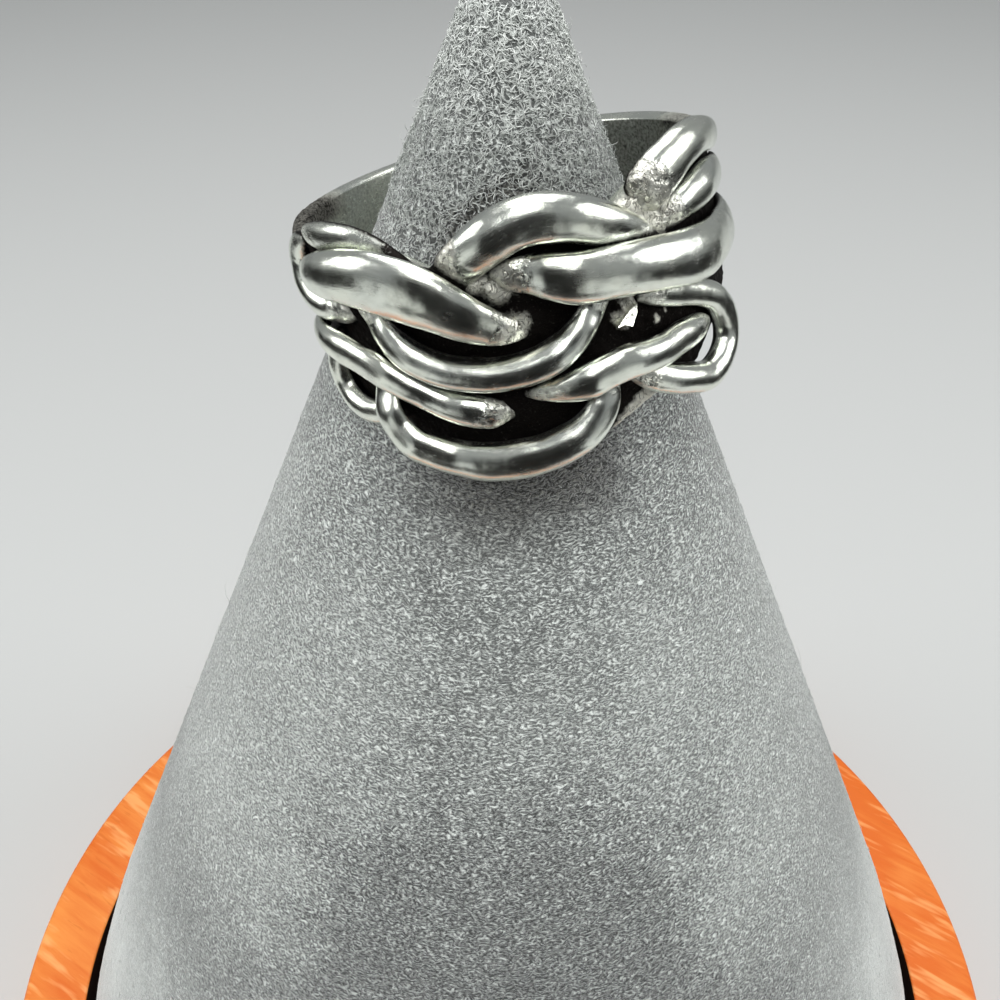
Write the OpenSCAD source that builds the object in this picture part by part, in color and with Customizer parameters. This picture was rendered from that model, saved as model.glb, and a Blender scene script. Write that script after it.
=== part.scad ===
// Silver ring with a braided front, tilted on a suede cone with a wooden base.
// Millimetres, +Z up. The origin is the middle of the base's underside.

/* [Ring] */
// Finger bore diameter
bore_d = 17.4; // [17.3:0.1:17.6]
// Wall of the sleeve behind the braid
sleeve_wall = 0.55; // [0.5:0.05:0.6]
// Wall of the plain band at the back
back_wall = 0.85; // [0.75:0.05:0.9]
// Lift of the ring's right side on the cone, in degrees
tilt_right = 13.5; // [13:0.1:14]
// Drop of the ring's back on the cone, in degrees
tilt_back = 3; // [2.5:0.1:3.5]
// Height of the ring's middle above the wood
ring_height = 68.6; // [68.5:0.1:69]

/* [Braid] */
// Clear gap between neighbouring pieces
gap = 0.06; // [0.04:0.01:0.06]
// Thickness of a strand where another one crosses over it
low_thick = 0.46; // [0.4:0.02:0.46]
// Thickness of a strand that lies open
open_thick = 1.1; // [1:0.05:1.15]

/* [Stand] */
// Diameter of the wooden base
base_d = 80.6; // [78:0.1:90]
// Thickness of the wooden base
base_h = 12; // [10:1:16]
// Diameter the cone's straight sides would have at the wood
cone_d = 70.2; // [69:0.1:71]
// Height above the wood where the cone's straight sides would meet
cone_apex = 84; // [83:0.1:85]
// How far the cone's foot turns in at the wood
foot_turn = 1.5; // [1.3:0.1:1.6]

/* [Hidden] */
$fn = 180;
silver = "#c9c8c4";
suede = "#8f9491";
wood = "#e8944f";

// Ring sizes worked out from the driving ones
bore_r = bore_d / 2;
sleeve_r = bore_r + sleeve_wall;
back_r = bore_r + back_wall;
// Radius at which the strands' angles and widths are measured
chart_r = 10;
// Where the ring's middle stands beside the cone's axis
ring_x = 0.4;
ring_y = -1;
// Half width and half height of the shapes the ring is cut with
cut_r = 12;
cut_h = 8;
// Rims of the front half seen from the front, as [sideways distance, height]
rim_top = [
    [-12, 3.9], [-8.6, 3.9], [-8, 4.8], [-5, 5.2], [-3.4, 4.6], [-2.4, 4.0], [-1.2, 4.2],
    [0, 4.9], [1.6, 5.3], [3.2, 4.9], [4.6, 4.6], [6, 5.2], [8, 5.0], [8.6, 3.9], [12, 3.9]
];
rim_low = [
    [12, -3], [8.6, -3], [7, -4.4], [4.8, -4.5], [2.6, -5.3], [0, -5.3], [-3, -5.1],
    [-6, -4.5], [-8, -3.7], [-8.6, -3], [-12, -3]
];
// Rims of the back half seen from the side, as [backward distance, height]
back_top = [[-0.1, 3.9], [9.6, 2.2], [12, 2]];
back_low = [[12, -1.5], [9.6, -1.6], [-0.1, -3]];
// Where the thicker plain band begins, as backward distances, on each side of the braid
band_from_left = -3;
band_from_right = 1.8;

// Stand sizes
cone_slope = cone_d / 2 / cone_apex;
foot_r = cone_d / 2 - foot_turn;
// Where the suede leaves the cone's straight side above the wood, as [height, distance inside it]
foot_curve = [[0, foot_turn], [1, 1.05], [2, 0.78], [4, 0.48], [8, 0.2], [12, 0]];
tip_r = 2.2;
recess_depth = 3;
recess_gap = 1.35;
edge_round = 0.6;
seat_gap = 0.05;
dent_gap = 0.1;
dent_reach = 11;

// Strand rows: [angle from the front, height, lift of the underside, thickness, width]
LOW = low_thick;
OPEN = open_thick;
OVER = low_thick + gap;
TOP_LOOP = [
    [-53.5, 5.2, 0, 0.3, 0.5], [-51, 5.3, 0, LOW, 0.9], [-45, 5.4, 0, 0.6, 1.3],
    [-39, 5.45, 0, 0.6, 1.4], [-33, 5.35, 0, 0.5, 1.4], [-28, 5.05, 0, LOW, 1.3],
    [-24, 4.45, 0, LOW, 1.4], [-20, 3.8, 0, LOW, 1.4], [-15, 3.45, 0, LOW, 1.5],
    [-11, 3.7, 0, LOW, 1.6], [-8, 4.15, 0, 0.6, 1.8], [-4, 4.6, 0, 0.9, 1.9],
    [1, 5.1, 0, OPEN, 2.0], [6, 5.4, 0, OPEN, 2.0], [11, 5.45, 0, OPEN, 2.0],
    [16, 5.25, 0, OPEN, 2.0], [21, 4.9, 0, OPEN, 1.9], [26, 4.4, 0, 1.0, 1.8],
    [31, 3.85, 0, 0.8, 1.6], [35, 3.35, 0, 0.6, 1.4], [39, 2.8, 0, LOW, 1.1],
    [42, 2.3, 0, 0.3, 0.8]
];
LEFT_SIDE = [
    [-43, 1.9, 0, 0.3, 0.7], [-46, 1.8, 0, 0.4, 1.0], [-50, 1.75, 0, LOW, 1.2],
    [-55, 1.75, 0, 0.75, 1.3], [-60, 2.05, 0, 0.9, 1.4], [-63.5, 2.7, 0, 0.9, 1.4],
    [-64.5, 3.4, 0, 0.75, 1.4], [-63.5, 3.95, 0, 0.65, 1.3], [-61.5, 4.35, 0, 0.55, 1.1],
    [-59.5, 4.6, 0, LOW, 0.9], [-57, 4.8, 0, 0.3, 0.5]
];
LEFT_OVER = [
    [-53.5, 3.55, OVER, 0.25, 0.7], [-52, 3.6, OVER, 0.5, 1.2], [-49, 3.75, OVER, 0.8, 1.7],
    [-45, 3.95, OVER, 1.0, 2.0], [-39, 4.15, OVER, 1.1, 2.3], [-33, 4.15, OVER, 1.1, 2.6],
    [-27, 4.0, OVER, 1.1, 2.8], [-21, 3.65, OVER, 1.05, 2.8], [-16, 3.2, OVER, 1.0, 2.6],
    [-12, 2.7, OVER, 0.95, 2.3], [-8, 2.15, OVER, 0.85, 2.0], [-4, 1.6, 0.35, 0.75, 1.7],
    [0, 1.15, 0.1, 0.65, 1.3], [3.5, 0.85, 0, 0.3, 0.7]
];
CRADLE = [
    [-39, 2.75, 0, 0.3, 0.7], [-37, 2.4, 0, LOW, 1.0], [-35, 1.95, 0, LOW, 1.2],
    [-32.5, 1.4, 0, 0.75, 1.4], [-29.5, 0.85, 0, 0.95, 1.5], [-26, 0.4, 0, OPEN, 1.5],
    [-22, 0, 0, OPEN, 1.5], [-17, -0.35, 0, OPEN, 1.5], [-12, -0.55, 0, OPEN, 1.5],
    [-6, -0.7, 0, OPEN, 1.5], [0, -0.7, 0, OPEN, 1.5], [5, -0.6, 0, OPEN, 1.5],
    [10, -0.35, 0, OPEN, 1.5], [14, -0.05, 0, 0.95, 1.4], [18, 0.45, 0, 0.75, 1.3],
    [21, 0.95, 0, LOW, 1.2], [24, 1.5, 0, 0.4, 1.0], [27, 2.1, 0, 0.3, 0.7]
];
RIGHT_OVER = [
    [0, 3.6, 0, 0.3, 0.8], [3, 3.45, 0, 0.5, 1.3], [7, 3.3, 0, 0.7, 1.6],
    [11, 3.15, 0.2, 0.9, 1.9], [16, 2.9, OVER, 0.95, 2.1], [21, 2.65, OVER, 1.0, 2.2],
    [28, 2.4, OVER, 1.05, 2.2], [35, 2.05, OVER, 1.05, 2.25], [42, 1.65, OVER, 1.05, 2.3],
    [49, 1.25, OVER, 1.0, 2.45], [56, 0.9, 0.4, 1.0, 2.4], [63, 0.6, 0.2, 0.95, 2.3],
    [70, 0.3, 0, 0.95, 2.2], [77, 0.05, 0, 0.8, 2.1], [84, -0.1, 0, 0.6, 1.9],
    [92, -0.2, 0, 0.4, 1.5], [99, -0.25, 0, 0.2, 0.9]
];
LOWER_RIGHT = [
    [1, -2, 0, 0.25, 0.5], [4, -2.05, 0, 0.45, 0.8], [7.5, -2.05, 0.1, 0.65, 1.1],
    [11.5, -1.95, 0.35, 0.75, 1.4], [15.5, -1.8, OVER, 0.85, 1.6], [20, -1.65, OVER, 0.85, 1.6],
    [25, -1.6, OVER, 0.85, 1.6], [30, -1.75, OVER, 0.85, 1.5], [36, -2, 0.35, 0.85, 1.5],
    [42, -2.15, 0.1, 0.85, 1.5], [48, -2.35, 0, 0.8, 1.4], [52, -2.5, 0, 0.65, 1.2],
    [55, -2.65, 0, LOW, 0.9], [57, -2.75, 0, 0.3, 0.6]
];
LEFT_MIDDLE = [
    [-64, 0.6, 0, 0.3, 0.8], [-60, 0.65, 0.35, 0.55, 1.1], [-54, 0.55, OVER, 0.75, 1.4],
    [-48, 0.4, OVER, 0.8, 1.6], [-42, 0.2, OVER, 0.8, 1.6], [-37, -0.1, OVER, 0.8, 1.6],
    [-33, -0.5, OVER, 0.8, 1.5], [-28, -1.1, 0.3, 0.85, 1.4], [-24, -1.6, 0.1, 0.9, 1.4],
    [-20, -2, 0, 0.95, 1.5], [-15, -2.3, 0, 0.95, 1.6], [-10, -2.55, 0, 0.85, 1.5],
    [-7, -2.65, 0, 0.65, 1.2], [-4.5, -2.75, 0, 0.3, 0.7]
];
BOTTOM = [
    [-39, -0.1, 0, 0.3, 0.8], [-38.5, -0.8, 0, 0.4, 1.1], [-38, -1.5, 0.2, 0.5, 1.4],
    [-37, -2.3, OVER, 0.7, 1.6], [-35, -3.15, OVER, 0.85, 1.7], [-31, -3.9, OVER, 0.95, 1.8],
    [-26, -4.45, 0.2, 1.05, 1.8], [-21, -4.8, 0, OPEN, 1.8], [-15, -5, 0, OPEN, 1.9],
    [-9, -5.05, 0, OPEN, 1.9], [-3, -5, 0, OPEN, 1.9], [2, -4.9, 0, OPEN, 1.8],
    [7, -4.7, 0, OPEN, 1.8], [12, -4.4, 0, 1.05, 1.7], [16, -3.95, 0, 0.9, 1.6],
    [19, -3.35, 0, 0.7, 1.5], [20.5, -2.7, 0, LOW, 1.3], [21.5, -2.1, 0, 0.4, 1.0],
    [22.5, -1.5, 0, 0.3, 0.7]
];
LEFT_LOOP = [
    [-54, 0.45, 0, 0.3, 0.6], [-57, -0.05, 0, 0.4, 1.0], [-59.5, -0.7, 0, 0.65, 1.3],
    [-61, -1.5, 0, 0.85, 1.4], [-60.5, -2.4, 0, 0.9, 1.4], [-57, -3.05, 0, 0.9, 1.4],
    [-51, -3.3, 0, 0.85, 1.3], [-46, -3.25, 0, 0.65, 1.2], [-42, -3.1, 0, 0.42, 1.1],
    [-38, -2.95, 0, 0.4, 0.9], [-35, -2.8, 0, 0.3, 0.6]
];
RIGHT_LOOP = [
    [34, 0.6, 0, 0.3, 0.7], [39, 0.2, 0, 0.42, 1.0], [45, -0.3, 0, LOW, 1.1],
    [51, -0.8, 0, LOW, 1.1], [56, -1.25, 0, 0.6, 1.2], [60.5, -1.85, 0, 0.8, 1.3],
    [63.5, -2.7, 0, 0.95, 1.4], [64.5, -3.6, 0, 1.0, 1.4], [62.5, -4.4, 0, 1.0, 1.4],
    [57, -4.85, 0, 1.0, 1.4], [51, -4.9, 0, 1.0, 1.4], [45, -4.4, 0, 1.0, 1.4],
    [39, -3.85, 0, 0.9, 1.4], [34, -3.3, 0, 0.7, 1.3], [30, -2.75, 0, LOW, 1.1],
    [27, -2.4, 0, 0.35, 0.7]
];
SHOULDER_A = [
    [38, 4.45, 0, 0.45, 1.8], [40, 4.65, 0, 0.75, 2.2], [44, 4.95, 0, 0.9, 2.25],
    [48, 5.15, 0, 0.95, 2.1], [53, 5.35, 0, 0.95, 1.9], [59, 5.35, 0, 0.95, 1.7],
    [65, 5.1, 0, 0.85, 1.5], [72, 4.65, 0, 0.7, 1.4], [79, 4.2, 0, 0.5, 1.2],
    [86, 3.85, 0, 0.2, 1.0]
];
SHOULDER_B = [
    [43.5, 2.85, 0, 0.3, 0.6], [46.5, 3.0, 0, LOW, 1.1], [51, 3.2, 0, 0.7, 1.4],
    [57, 3.25, 0, 0.85, 1.65], [63, 3.2, 0, 0.85, 1.75], [70, 2.95, 0, 0.7, 1.65],
    [78, 2.65, 0, 0.5, 1.3], [86, 2.4, 0, 0.2, 1.0]
];

// Smooth curve through the rows a, b, c and d, between b and c
function blend(a, b, c, d, t) =
    b + t * (c - a) / 2 + t * t * (a - 2.5 * b + 2 * c - d / 2)
    + t * t * t * (-a / 2 + 1.5 * b - 1.5 * c + d / 2);
function row(rows, i) = rows[max(0, min(len(rows) - 1, i))];
function smooth(rows, steps) = concat(
    [for (i = [0 : len(rows) - 2], k = [0 : steps - 1])
        blend(row(rows, i - 1), row(rows, i), row(rows, i + 1), row(rows, i + 2), k / steps)],
    [rows[len(rows) - 1]]
);

// A strand: a domed section with a rounded underside, carried along its rows on the sleeve
sides = 12;
steps = 2;
belly = 0.28;
function arc_len(angle) = chart_r * angle * PI / 180;
function on_sleeve(u, z, lift) =
    let (a = u / chart_r * 180 / PI, r = sleeve_r + gap + lift)
    [r * sin(a), -r * cos(a), z];
function section(s, dir) = [
    for (i = [0 : sides - 1])
        let (
            a = 360 * i / sides,
            across = s[4] / 2 * cos(a),
            up = s[3] * (sin(a) > 0 ? belly + (1 - belly) * sin(a) : belly + belly * sin(a))
        )
        on_sleeve(arc_len(s[0]) - dir[1] * across, s[1] + dir[0] * across, s[2] + up)
];
function heading(rows, i) =
    let (a = row(rows, i - 1), b = row(rows, i + 1), d = [arc_len(b[0] - a[0]), b[1] - a[1]])
    d / norm(d);
module strand(rows) {
    path = smooth(rows, steps);
    last = len(path) - 1;
    points = [for (i = [0 : last]) each section(path[i], heading(path, i))];
    walls = [for (i = [0 : last - 1], k = [0 : sides - 1])
        let (a = i * sides + k, b = i * sides + (k + 1) % sides)
        each [[a, a + sides, b], [b, a + sides, b + sides]]];
    start_cap = [for (k = [1 : sides - 2]) [0, k, k + 1]];
    end_cap = [for (k = [1 : sides - 2]) [last * sides, last * sides + k + 1, last * sides + k]];
    color(silver) in_ring_place() polyhedron(points, concat(walls, start_cap, end_cap));
}

// Puts a ring piece, modelled round the Z axis, where the ring hangs on the cone
module in_ring_place() {
    translate([ring_x, ring_y, base_h + ring_height])
        rotate([-tilt_back, -tilt_right, 0])
            children();
}

// The space between the rims, with a margin above and below
function raised(rim, margin) = [for (p = rim) [p[0], p[1] + margin]];
module between_rims(margin) {
    rotate([90, 0, 0]) linear_extrude(height = cut_r)
        polygon(concat(raised(rim_top, margin), raised(rim_low, -margin)));
    rotate([90, 0, 90]) translate([0, 0, -cut_r]) linear_extrude(height = 2 * cut_r)
        polygon(concat(raised(back_top, margin), raised(back_low, -margin)));
}

module tube(outer, inner) {
    rotate_extrude() translate([inner, -cut_h]) square([outer - inner, 2 * cut_h]);
}

// The round back of the ring, from where the braid ends on each side
module band_reach() {
    translate([-cut_r, band_from_left, -cut_h])
        cube([cut_r, cut_r - band_from_left, 2 * cut_h]);
    translate([0, band_from_right, -cut_h])
        cube([cut_r, cut_r - band_from_right, 2 * cut_h]);
}

module shank() {
    color(silver) in_ring_place() intersection() {
        between_rims(0);
        union() {
            tube(sleeve_r, bore_r);
            intersection() {
                tube(back_r, bore_r);
                band_reach();
            }
        }
    }
}

module top_loop_strand() { strand(TOP_LOOP); }
module left_side_strand() { strand(LEFT_SIDE); }
module left_over_strand() { strand(LEFT_OVER); }
module cradle_strand() { strand(CRADLE); }
module right_over_strand() { strand(RIGHT_OVER); }
module lower_right_strand() { strand(LOWER_RIGHT); }
module left_middle_strand() { strand(LEFT_MIDDLE); }
module bottom_strand() { strand(BOTTOM); }
module left_loop_strand() { strand(LEFT_LOOP); }
module right_loop_strand() { strand(RIGHT_LOOP); }
module shoulder_strand_a() { strand(SHOULDER_A); }
module shoulder_strand_b() { strand(SHOULDER_B); }

// A suede cone with a rounded tip and a turned-in foot, pressed in where the ring sits on it
module cone() {
    half = atan(cone_slope);
    tip_z = cone_apex - tip_r / sin(half);
    foot_z = seat_gap - recess_depth;
    color(suede) difference() {
        translate([0, 0, base_h]) rotate_extrude() {
            polygon([
                [0, foot_z], [foot_r, foot_z],
                for (c = foot_curve) [cone_d / 2 - cone_slope * c[0] - c[1], c[0]],
                [tip_r * cos(half), tip_z + tip_r * sin(half)], [0, tip_z]
            ]);
            intersection() {
                translate([0, tip_z]) circle(r = tip_r);
                translate([0, tip_z]) square(tip_r * 2);
            }
        }
        in_ring_place() intersection() {
            tube(dent_reach, bore_r - dent_gap);
            between_rims(dent_gap);
        }
    }
}

// A round wooden base with a rounded top edge and a recess for the cone
module base() {
    base_r = base_d / 2;
    color(wood) difference() {
        rotate_extrude() {
            square([base_r, base_h - edge_round]);
            square([base_r - edge_round, base_h]);
            translate([base_r - edge_round, base_h - edge_round]) intersection() {
                circle(r = edge_round);
                square(edge_round * 2);
            }
        }
        translate([0, 0, base_h - recess_depth])
            cylinder(h = recess_depth + edge_round, r = foot_r + recess_gap);
    }
}

shank();
top_loop_strand();
left_side_strand();
left_over_strand();
cradle_strand();
right_over_strand();
lower_right_strand();
left_middle_strand();
bottom_strand();
left_loop_strand();
right_loop_strand();
shoulder_strand_a();
shoulder_strand_b();
cone();
base();
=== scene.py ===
"""Braided silver ring tilted on a suede cone with a wooden base: its looks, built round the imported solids."""

import bpy
import numpy as np
from mathutils import Matrix, Vector


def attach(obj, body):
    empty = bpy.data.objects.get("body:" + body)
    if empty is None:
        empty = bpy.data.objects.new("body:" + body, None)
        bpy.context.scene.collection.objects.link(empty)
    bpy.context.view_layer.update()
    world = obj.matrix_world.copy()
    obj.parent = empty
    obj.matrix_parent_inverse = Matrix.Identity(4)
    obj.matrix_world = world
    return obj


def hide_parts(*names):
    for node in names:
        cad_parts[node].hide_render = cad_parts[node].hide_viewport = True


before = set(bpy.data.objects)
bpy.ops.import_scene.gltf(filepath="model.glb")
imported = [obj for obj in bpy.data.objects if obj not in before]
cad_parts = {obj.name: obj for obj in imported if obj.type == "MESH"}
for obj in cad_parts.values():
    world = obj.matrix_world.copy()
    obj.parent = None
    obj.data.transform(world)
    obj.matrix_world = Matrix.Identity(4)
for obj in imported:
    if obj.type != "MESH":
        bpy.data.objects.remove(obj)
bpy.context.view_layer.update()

# Sizes in millimetres, as in the solids: radius of the bore, the sleeve behind the braid and the plain back
BORE_R, SLEEVE_R, BACK_R = 8.7, 9.25, 9.55
# Gap under a strand, its thickness where it is low and where it is open, and its lift where it crosses over
GAP, LOW, OPEN, OVER = 0.06, 0.46, 1.1, 0.52
# Radius on which the strands' angles are laid out, and the share of a strand below its widest line
CHART_R, BELLY = 10.0, 0.28
# Where the ring's middle hangs, and how far its right side is up and its back down
CENTRE = np.array([0.4, -1.0, 80.6])
TILT_RIGHT, TILT_BACK = np.radians(13.5), np.radians(3.0)
# Base: radius, height, depth of the recess, rounding of the top and the low edge and of the recess's lip
BASE_R, BASE_H, RECESS, EDGE = 40.3, 12.0, 3.0, 0.6
FOOT_EDGE, LIP = 0.5, 0.2
# Cone: radius its straight sides would have at the wood, height of their point, radius of the tip
CONE_R, APEX, TIP_R = 35.1, 84.0, 2.2
# Radius of its foot, the gap round it, and how far it lies inside the straight sides, as (height, distance)
FOOT_R, RECESS_GAP = 33.6, 1.35
FOOT_CURVE = np.array([[0, 1.5], [1, 1.05], [2, 0.78], [4, 0.48], [8, 0.2], [12, 0]])
SLOPE = CONE_R / APEX
HALF = np.arctan(SLOPE)
TIP_Z = APEX - TIP_R / np.sin(HALF)
# How far inside the bore the suede stays where the ring presses it in
DENT_CLEAR = 0.14
# Rings between the edges: heights up the base's wall, radii on its top, radius on its underside and floor
WALL_RINGS, TOP_RINGS, FLOOR_RING = (3.0, 6.0, 9.0), (38.0, 37.0), 20

# Strand rows: angle from the front, height, lift of the underside, thickness, width
STRANDS = {
    "top_loop_strand": [
        [-53.5, 5.2, 0, 0.3, 0.5], [-51, 5.3, 0, LOW, 0.9], [-45, 5.4, 0, 0.6, 1.3],
        [-39, 5.45, 0, 0.6, 1.4], [-33, 5.35, 0, 0.5, 1.4], [-28, 5.05, 0, LOW, 1.3],
        [-24, 4.45, 0, LOW, 1.4], [-20, 3.8, 0, LOW, 1.4], [-15, 3.45, 0, LOW, 1.5],
        [-11, 3.7, 0, LOW, 1.6], [-8, 4.15, 0, 0.6, 1.8], [-4, 4.6, 0, 0.9, 1.9],
        [1, 5.1, 0, OPEN, 2.0], [6, 5.4, 0, OPEN, 2.0], [11, 5.45, 0, OPEN, 2.0],
        [16, 5.25, 0, OPEN, 2.0], [21, 4.9, 0, OPEN, 1.9], [26, 4.4, 0, 1.0, 1.8],
        [31, 3.85, 0, 0.8, 1.6], [35, 3.35, 0, 0.6, 1.4], [39, 2.8, 0, LOW, 1.1],
        [42, 2.3, 0, 0.3, 0.8],
    ],
    "left_side_strand": [
        [-43, 1.9, 0, 0.3, 0.7], [-46, 1.8, 0, 0.4, 1.0], [-50, 1.75, 0, LOW, 1.2],
        [-55, 1.75, 0, 0.75, 1.3], [-60, 2.05, 0, 0.9, 1.4], [-63.5, 2.7, 0, 0.9, 1.4],
        [-64.5, 3.4, 0, 0.75, 1.4], [-63.5, 3.95, 0, 0.65, 1.3], [-61.5, 4.35, 0, 0.55, 1.1],
        [-59.5, 4.6, 0, LOW, 0.9], [-57, 4.8, 0, 0.3, 0.5],
    ],
    "left_over_strand": [
        [-53.5, 3.55, OVER, 0.25, 0.7], [-52, 3.6, OVER, 0.5, 1.2], [-49, 3.75, OVER, 0.8, 1.7],
        [-45, 3.95, OVER, 1.0, 2.0], [-39, 4.15, OVER, 1.1, 2.3], [-33, 4.15, OVER, 1.1, 2.6],
        [-27, 4.0, OVER, 1.1, 2.8], [-21, 3.65, OVER, 1.05, 2.8], [-16, 3.2, OVER, 1.0, 2.6],
        [-12, 2.7, OVER, 0.95, 2.3], [-8, 2.15, OVER, 0.85, 2.0], [-4, 1.6, 0.35, 0.75, 1.7],
        [0, 1.15, 0.1, 0.65, 1.3], [3.5, 0.85, 0, 0.3, 0.7],
    ],
    "cradle_strand": [
        [-39, 2.75, 0, 0.3, 0.7], [-37, 2.4, 0, LOW, 1.0], [-35, 1.95, 0, LOW, 1.2],
        [-32.5, 1.4, 0, 0.75, 1.4], [-29.5, 0.85, 0, 0.95, 1.5], [-26, 0.4, 0, OPEN, 1.5],
        [-22, 0, 0, OPEN, 1.5], [-17, -0.35, 0, OPEN, 1.5], [-12, -0.55, 0, OPEN, 1.5],
        [-6, -0.7, 0, OPEN, 1.5], [0, -0.7, 0, OPEN, 1.5], [5, -0.6, 0, OPEN, 1.5],
        [10, -0.35, 0, OPEN, 1.5], [14, -0.05, 0, 0.95, 1.4], [18, 0.45, 0, 0.75, 1.3],
        [21, 0.95, 0, LOW, 1.2], [24, 1.5, 0, 0.4, 1.0], [27, 2.1, 0, 0.3, 0.7],
    ],
    "right_over_strand": [
        [0, 3.6, 0, 0.3, 0.8], [3, 3.45, 0, 0.5, 1.3], [7, 3.3, 0, 0.7, 1.6],
        [11, 3.15, 0.2, 0.9, 1.9], [16, 2.9, OVER, 0.95, 2.1], [21, 2.65, OVER, 1.0, 2.2],
        [28, 2.4, OVER, 1.05, 2.2], [35, 2.05, OVER, 1.05, 2.25], [42, 1.65, OVER, 1.05, 2.3],
        [49, 1.25, OVER, 1.0, 2.45], [56, 0.9, 0.4, 1.0, 2.4], [63, 0.6, 0.2, 0.95, 2.3],
        [70, 0.3, 0, 0.95, 2.2], [77, 0.05, 0, 0.8, 2.1], [84, -0.1, 0, 0.6, 1.9],
        [92, -0.2, 0, 0.4, 1.5], [99, -0.25, 0, 0.2, 0.9],
    ],
    "lower_right_strand": [
        [1, -2, 0, 0.25, 0.5], [4, -2.05, 0, 0.45, 0.8], [7.5, -2.05, 0.1, 0.65, 1.1],
        [11.5, -1.95, 0.35, 0.75, 1.4], [15.5, -1.8, OVER, 0.85, 1.6], [20, -1.65, OVER, 0.85, 1.6],
        [25, -1.6, OVER, 0.85, 1.6], [30, -1.75, OVER, 0.85, 1.5], [36, -2, 0.35, 0.85, 1.5],
        [42, -2.15, 0.1, 0.85, 1.5], [48, -2.35, 0, 0.8, 1.4], [52, -2.5, 0, 0.65, 1.2],
        [55, -2.65, 0, LOW, 0.9], [57, -2.75, 0, 0.3, 0.6],
    ],
    "left_middle_strand": [
        [-64, 0.6, 0, 0.3, 0.8], [-60, 0.65, 0.35, 0.55, 1.1], [-54, 0.55, OVER, 0.75, 1.4],
        [-48, 0.4, OVER, 0.8, 1.6], [-42, 0.2, OVER, 0.8, 1.6], [-37, -0.1, OVER, 0.8, 1.6],
        [-33, -0.5, OVER, 0.8, 1.5], [-28, -1.1, 0.3, 0.85, 1.4], [-24, -1.6, 0.1, 0.9, 1.4],
        [-20, -2, 0, 0.95, 1.5], [-15, -2.3, 0, 0.95, 1.6], [-10, -2.55, 0, 0.85, 1.5],
        [-7, -2.65, 0, 0.65, 1.2], [-4.5, -2.75, 0, 0.3, 0.7],
    ],
    "bottom_strand": [
        [-39, -0.1, 0, 0.3, 0.8], [-38.5, -0.8, 0, 0.4, 1.1], [-38, -1.5, 0.2, 0.5, 1.4],
        [-37, -2.3, OVER, 0.7, 1.6], [-35, -3.15, OVER, 0.85, 1.7], [-31, -3.9, OVER, 0.95, 1.8],
        [-26, -4.45, 0.2, 1.05, 1.8], [-21, -4.8, 0, OPEN, 1.8], [-15, -5, 0, OPEN, 1.9],
        [-9, -5.05, 0, OPEN, 1.9], [-3, -5, 0, OPEN, 1.9], [2, -4.9, 0, OPEN, 1.8],
        [7, -4.7, 0, OPEN, 1.8], [12, -4.4, 0, 1.05, 1.7], [16, -3.95, 0, 0.9, 1.6],
        [19, -3.35, 0, 0.7, 1.5], [20.5, -2.7, 0, LOW, 1.3], [21.5, -2.1, 0, 0.4, 1.0],
        [22.5, -1.5, 0, 0.3, 0.7],
    ],
    "left_loop_strand": [
        [-54, 0.45, 0, 0.3, 0.6], [-57, -0.05, 0, 0.4, 1.0], [-59.5, -0.7, 0, 0.65, 1.3],
        [-61, -1.5, 0, 0.85, 1.4], [-60.5, -2.4, 0, 0.9, 1.4], [-57, -3.05, 0, 0.9, 1.4],
        [-51, -3.3, 0, 0.85, 1.3], [-46, -3.25, 0, 0.65, 1.2], [-42, -3.1, 0, 0.42, 1.1],
        [-38, -2.95, 0, 0.4, 0.9], [-35, -2.8, 0, 0.3, 0.6],
    ],
    "right_loop_strand": [
        [34, 0.6, 0, 0.3, 0.7], [39, 0.2, 0, 0.42, 1.0], [45, -0.3, 0, LOW, 1.1],
        [51, -0.8, 0, LOW, 1.1], [56, -1.25, 0, 0.6, 1.2], [60.5, -1.85, 0, 0.8, 1.3],
        [63.5, -2.7, 0, 0.95, 1.4], [64.5, -3.6, 0, 1.0, 1.4], [62.5, -4.4, 0, 1.0, 1.4],
        [57, -4.85, 0, 1.0, 1.4], [51, -4.9, 0, 1.0, 1.4], [45, -4.4, 0, 1.0, 1.4],
        [39, -3.85, 0, 0.9, 1.4], [34, -3.3, 0, 0.7, 1.3], [30, -2.75, 0, LOW, 1.1],
        [27, -2.4, 0, 0.35, 0.7],
    ],
    "shoulder_strand_a": [
        [38, 4.45, 0, 0.45, 1.8], [40, 4.65, 0, 0.75, 2.2], [44, 4.95, 0, 0.9, 2.25],
        [48, 5.15, 0, 0.95, 2.1], [53, 5.35, 0, 0.95, 1.9], [59, 5.35, 0, 0.95, 1.7],
        [65, 5.1, 0, 0.85, 1.5], [72, 4.65, 0, 0.7, 1.4], [79, 4.2, 0, 0.5, 1.2],
        [86, 3.85, 0, 0.2, 1.0],
    ],
    "shoulder_strand_b": [
        [43.5, 2.85, 0, 0.3, 0.6], [46.5, 3.0, 0, LOW, 1.1], [51, 3.2, 0, 0.7, 1.4],
        [57, 3.25, 0, 0.85, 1.65], [63, 3.2, 0, 0.85, 1.75], [70, 2.95, 0, 0.7, 1.65],
        [78, 2.65, 0, 0.5, 1.3], [86, 2.4, 0, 0.2, 1.0],
    ],
}

# How rough each strand's first and last end is: 1 is bare cast metal, 0 is polished to the tip
ROUGH_ENDS = {
    "top_loop_strand": (0.3, 0.3), "left_side_strand": (0.4, 0), "left_over_strand": (0, 0.8),
    "cradle_strand": (0.4, 0.5), "right_over_strand": (0.8, 0), "lower_right_strand": (0.2, 0.3),
    "left_middle_strand": (0, 0.6), "bottom_strand": (0, 0.5), "left_loop_strand": (0, 0.6),
    "right_loop_strand": (0.5, 0.5), "shoulder_strand_a": (0.8, 0.5), "shoulder_strand_b": (0.8, 0.5),
}

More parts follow.
